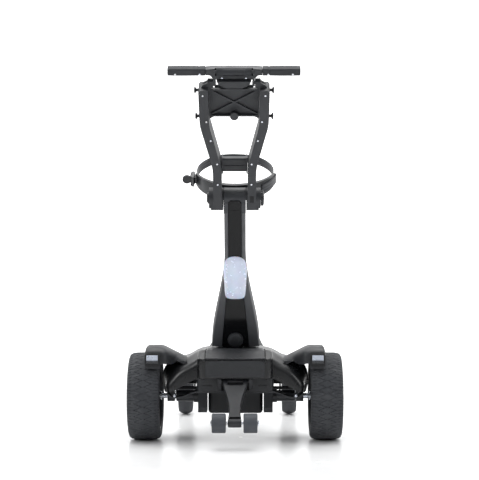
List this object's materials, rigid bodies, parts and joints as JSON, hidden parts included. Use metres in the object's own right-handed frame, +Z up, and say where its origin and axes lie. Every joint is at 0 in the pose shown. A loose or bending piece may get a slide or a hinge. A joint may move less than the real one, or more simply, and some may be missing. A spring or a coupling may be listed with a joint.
{
  "type": "electric golf trolley",
  "caption": "Electric golf trolley: winged battery chassis on driven wheels, trailing front castors, folding mast and handle, bag cradle and rear stabiliser.",
  "frame": {"origin": "on the floor, under the middle of the trolley's overall box; the rear axle is 131.8 mm behind it", "axes": "+Z up, +Y the way the trolley drives, +X its right-hand side, along the wheels' axle"},
  "size_m": [0.57, 0.9664, 0.9642],
  "materials": {
    "shell_gloss": "satin black moulding",
    "body_plastic": "fine textured charcoal moulding",
    "mast_plastic": "fine textured charcoal moulding",
    "frame_plastic": "fine textured dark grey moulding",
    "channel_gloss": "polished black",
    "panel_texture": "coarse speckled black",
    "tyre_tread": "matte black moulded tread",
    "rim_plastic": "satin black",
    "soft_rubber": "matte black",
    "roller_plastic": "worn mid grey",
    "painted_frame": "aluminium, powder coated black",
    "drive_metal": "black coated die casting",
    "bright_steel": "bright turned steel",
    "status_lens": "translucent cool white",
    "sensor_lens": "light smoky grey",
    "battery_case": "textured black case",
    "circuit_board": "green laminate",
    "light_board": "white laminate",
    "strap_webbing": "woven black webbing"
  },
  "bodies": {
    "chassis": {"chassis_frame": "body_plastic", "upper_shell": "shell_gloss", "rear_panel": "panel_texture", "undertray": "body_plastic", "belly_housing": "body_plastic", "control_board": "circuit_board", "battery_pack": "battery_case", "gearmotors": "drive_metal", "bearing_blocks": "drive_metal", "mast_bracket": "painted_frame", "chassis_fasteners": "bright_steel", "sensor_arms": "body_plastic", "sensor_bezels": "soft_rubber", "sensor_lenses": "sensor_lens", "front_frame": "painted_frame", "bag_tray": "body_plastic", "tray_pads": "soft_rubber"},
    "hatch": {"battery_hatch": "body_plastic"},
    "wheel_left": {"tyre_left": "tyre_tread", "rim_left": "rim_plastic", "axle_left": "bright_steel"},
    "wheel_right": {"tyre_right": "tyre_tread", "rim_right": "rim_plastic", "axle_right": "bright_steel"},
    "wheel_release_left": {"release_button_left": "body_plastic"},
    "wheel_release_right": {"release_button_right": "body_plastic"},
    "castor_swivel_left": {"castor_fork_left": "painted_frame", "castor_axle_left": "bright_steel"},
    "castor_swivel_right": {"castor_fork_right": "painted_frame", "castor_axle_right": "bright_steel"},
    "castor_wheel_left": {"castor_hub_left": "rim_plastic", "castor_tyre_left": "tyre_tread"},
    "castor_wheel_right": {"castor_hub_right": "rim_plastic", "castor_tyre_right": "tyre_tread"},
    "stabiliser": {"stabiliser_arm": "body_plastic", "stabiliser_axle": "bright_steel"},
    "roller_left": {"stabiliser_roller_left": "roller_plastic"},
    "roller_right": {"stabiliser_roller_right": "roller_plastic"},
    "mast": {"mast_spine": "mast_plastic", "mast_channel": "channel_gloss", "status_lens": "status_lens", "status_board": "light_board", "mast_head": "mast_plastic", "elbow_pin": "painted_frame", "bag_cradle": "body_plastic", "bag_strap": "strap_webbing", "buckle": "body_plastic"},
    "fold_release": {"fold_release_button": "body_plastic"},
    "lever": {"strap_lever": "body_plastic"},
    "upper_frame": {"frame_arm_left": "frame_plastic", "frame_arm_right": "frame_plastic", "frame_panel": "frame_plastic", "frame_crossbar": "frame_plastic", "frame_fasteners": "painted_frame"},
    "elbow_clamp": {"elbow_knob": "body_plastic"},
    "panel_clamp": {"panel_knob": "body_plastic"},
    "handle": {"handle_yoke": "frame_plastic", "dock_cup": "frame_plastic", "grips": "soft_rubber"},
    "dial": {"thumb_dial": "soft_rubber"}
  },
  "joints": [
    {"name": "hatch_hinge", "type": "hinge", "parent": "chassis", "child": "hatch", "pos_m": [0, -0.2433, 0.2252], "axis": [1, 0, 0], "range_deg": [0, 95]},
    {"name": "wheel_spin_left", "type": "hinge", "parent": "chassis", "child": "wheel_left", "pos_m": [-0.242, -0.1318, 0.117], "axis": [1, 0, 0], "continuous": true},
    {"name": "wheel_release_press_left", "type": "slide", "parent": "wheel_left", "child": "wheel_release_left", "axis": [1, 0, 0], "range_m": [0, 0.004]},
    {"name": "castor_swivel_turn_left", "type": "hinge", "parent": "chassis", "child": "castor_swivel_left", "pos_m": [-0.16, 0.4432, 0.15], "axis": [0, 0, 1], "continuous": true},
    {"name": "castor_spin_left", "type": "hinge", "parent": "castor_swivel_left", "child": "castor_wheel_left", "pos_m": [-0.16, 0.4132, 0.07], "axis": [1, 0, 0], "continuous": true},
    {"name": "wheel_spin_right", "type": "hinge", "parent": "chassis", "child": "wheel_right", "pos_m": [0.242, -0.1318, 0.117], "axis": [1, 0, 0], "continuous": true},
    {"name": "wheel_release_press_right", "type": "slide", "parent": "wheel_right", "child": "wheel_release_right", "axis": [-1, 0, 0], "range_m": [0, 0.004]},
    {"name": "castor_swivel_turn_right", "type": "hinge", "parent": "chassis", "child": "castor_swivel_right", "pos_m": [0.16, 0.4432, 0.15], "axis": [0, 0, 1], "continuous": true},
    {"name": "castor_spin_right", "type": "hinge", "parent": "castor_swivel_right", "child": "castor_wheel_right", "pos_m": [0.16, 0.4132, 0.07], "axis": [1, 0, 0], "continuous": true},
    {"name": "stabiliser_fold", "type": "hinge", "parent": "chassis", "child": "stabiliser", "pos_m": [0, -0.2318, 0.165], "axis": [1, 0, 0], "range_deg": [0, 50]},
    {"name": "roller_spin_left", "type": "hinge", "parent": "stabiliser", "child": "roller_left", "pos_m": [-0.0405, -0.3268, 0.068], "axis": [1, 0, 0], "continuous": true},
    {"name": "roller_spin_right", "type": "hinge", "parent": "stabiliser", "child": "roller_right", "pos_m": [0.0405, -0.3268, 0.068], "axis": [1, 0, 0], "continuous": true},
    {"name": "mast_fold", "type": "hinge", "parent": "chassis", "child": "mast", "pos_m": [0, -0.0368, 0.257], "axis": [-1, 0, 0], "range_deg": [0, 105]},
    {"name": "fold_release_press", "type": "slide", "parent": "mast", "child": "fold_release", "axis": [0, 0.9204, 0.3909], "range_m": [0, 0.005]},
    {"name": "strap_lever_turn", "type": "hinge", "parent": "mast", "child": "lever", "pos_m": [-0.115, -0.18563, 0.69877], "axis": [0, -0.5, 0.866], "range_deg": [-30, 45]},
    {"name": "elbow_fold", "type": "hinge", "parent": "mast", "child": "upper_frame", "pos_m": [0, -0.28499, 0.64487], "axis": [1, 0, 0], "range_deg": [0, 150]},
    {"name": "elbow_clamp_turn", "type": "hinge", "parent": "upper_frame", "child": "elbow_clamp", "pos_m": [0.07, -0.28499, 0.64487], "axis": [1, 0, 0], "range_deg": [0, 180]},
    {"name": "panel_clamp_turn", "type": "hinge", "parent": "upper_frame", "child": "panel_clamp", "pos_m": [0, -0.4113, 0.84445], "axis": [0, 0.866, 0.5], "range_deg": [0, 180]},
    {"name": "handle_tilt", "type": "hinge", "parent": "upper_frame", "child": "handle", "pos_m": [0, -0.44599, 0.92373], "axis": [1, 0, 0], "range_deg": [-20, 20]},
    {"name": "thumb_dial_turn", "type": "hinge", "parent": "handle", "child": "dial", "pos_m": [0, -0.47375, 0.94581], "axis": [1, 0, 0], "continuous": true}
  ]
}
